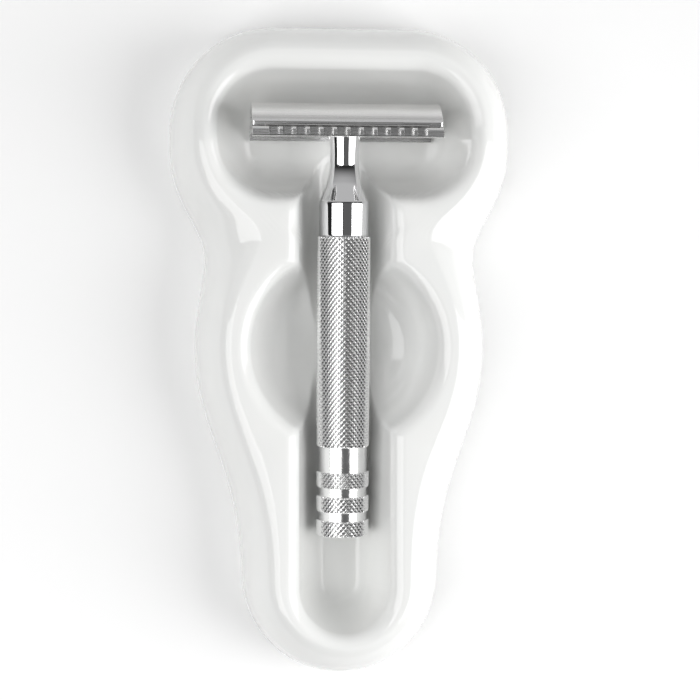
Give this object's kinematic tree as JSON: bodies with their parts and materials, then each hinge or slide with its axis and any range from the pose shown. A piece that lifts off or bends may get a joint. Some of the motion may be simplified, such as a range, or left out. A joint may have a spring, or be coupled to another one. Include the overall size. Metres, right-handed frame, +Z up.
{
  "type": "razor stand",
  "caption": "Glazed ceramic dish with a head basin, a handle channel and a round finger pocket, holding a double-edge safety razor on its side.",
  "frame": {"origin": "on the ground, under the middle of the dish", "axes": "+Y along the dish from the narrow tail to the wide head basin, +Z up"},
  "size_m": [0.082, 0.1552, 0.0314],
  "materials": {
    "glaze": "gloss",
    "polished_plate": "polished",
    "knurled_plate": "knurled",
    "screw_steel": "turned",
    "blade_steel": "ground"
  },
  "bodies": {
    "dish": {"dish": "glaze"},
    "base": {"base_plate": "polished_plate"},
    "handle": {"handle_neck": "polished_plate", "grip_tube": "knurled_plate", "pommel": "knurled_plate"},
    "head": {"cap_plate": "polished_plate", "cap_stud": "screw_steel", "locating_pin_left": "screw_steel", "locating_pin_right": "screw_steel"},
    "blade": {"blade": "blade_steel"}
  },
  "joints": [
    {"name": "razor_lift", "type": "slide", "parent": "dish", "child": "base", "axis": [0, 0, 1], "range_m": [0, 0.06]},
    {"name": "handle_turn", "type": "hinge", "parent": "base", "child": "handle", "pos_m": [0, 0.05029, 0.01943], "axis": [0, -0.9974, -0.0727], "range_deg": [0, 1800]},
    {"name": "cap_rise", "type": "slide", "parent": "base", "child": "head", "axis": [0, 0.9974, 0.0727], "range_m": [0, 0.00405]},
    {"name": "blade_rise", "type": "slide", "parent": "base", "child": "blade", "axis": [0, 0.9974, 0.0727], "range_m": [0, 0.00205]}
  ],
  "couplings": [
    {"joint": "cap_rise", "follows": "handle_turn", "m_per_rad": 0.00012732},
    {"joint": "blade_rise", "follows": "handle_turn", "m_per_rad": 0.000063662}
  ]
}
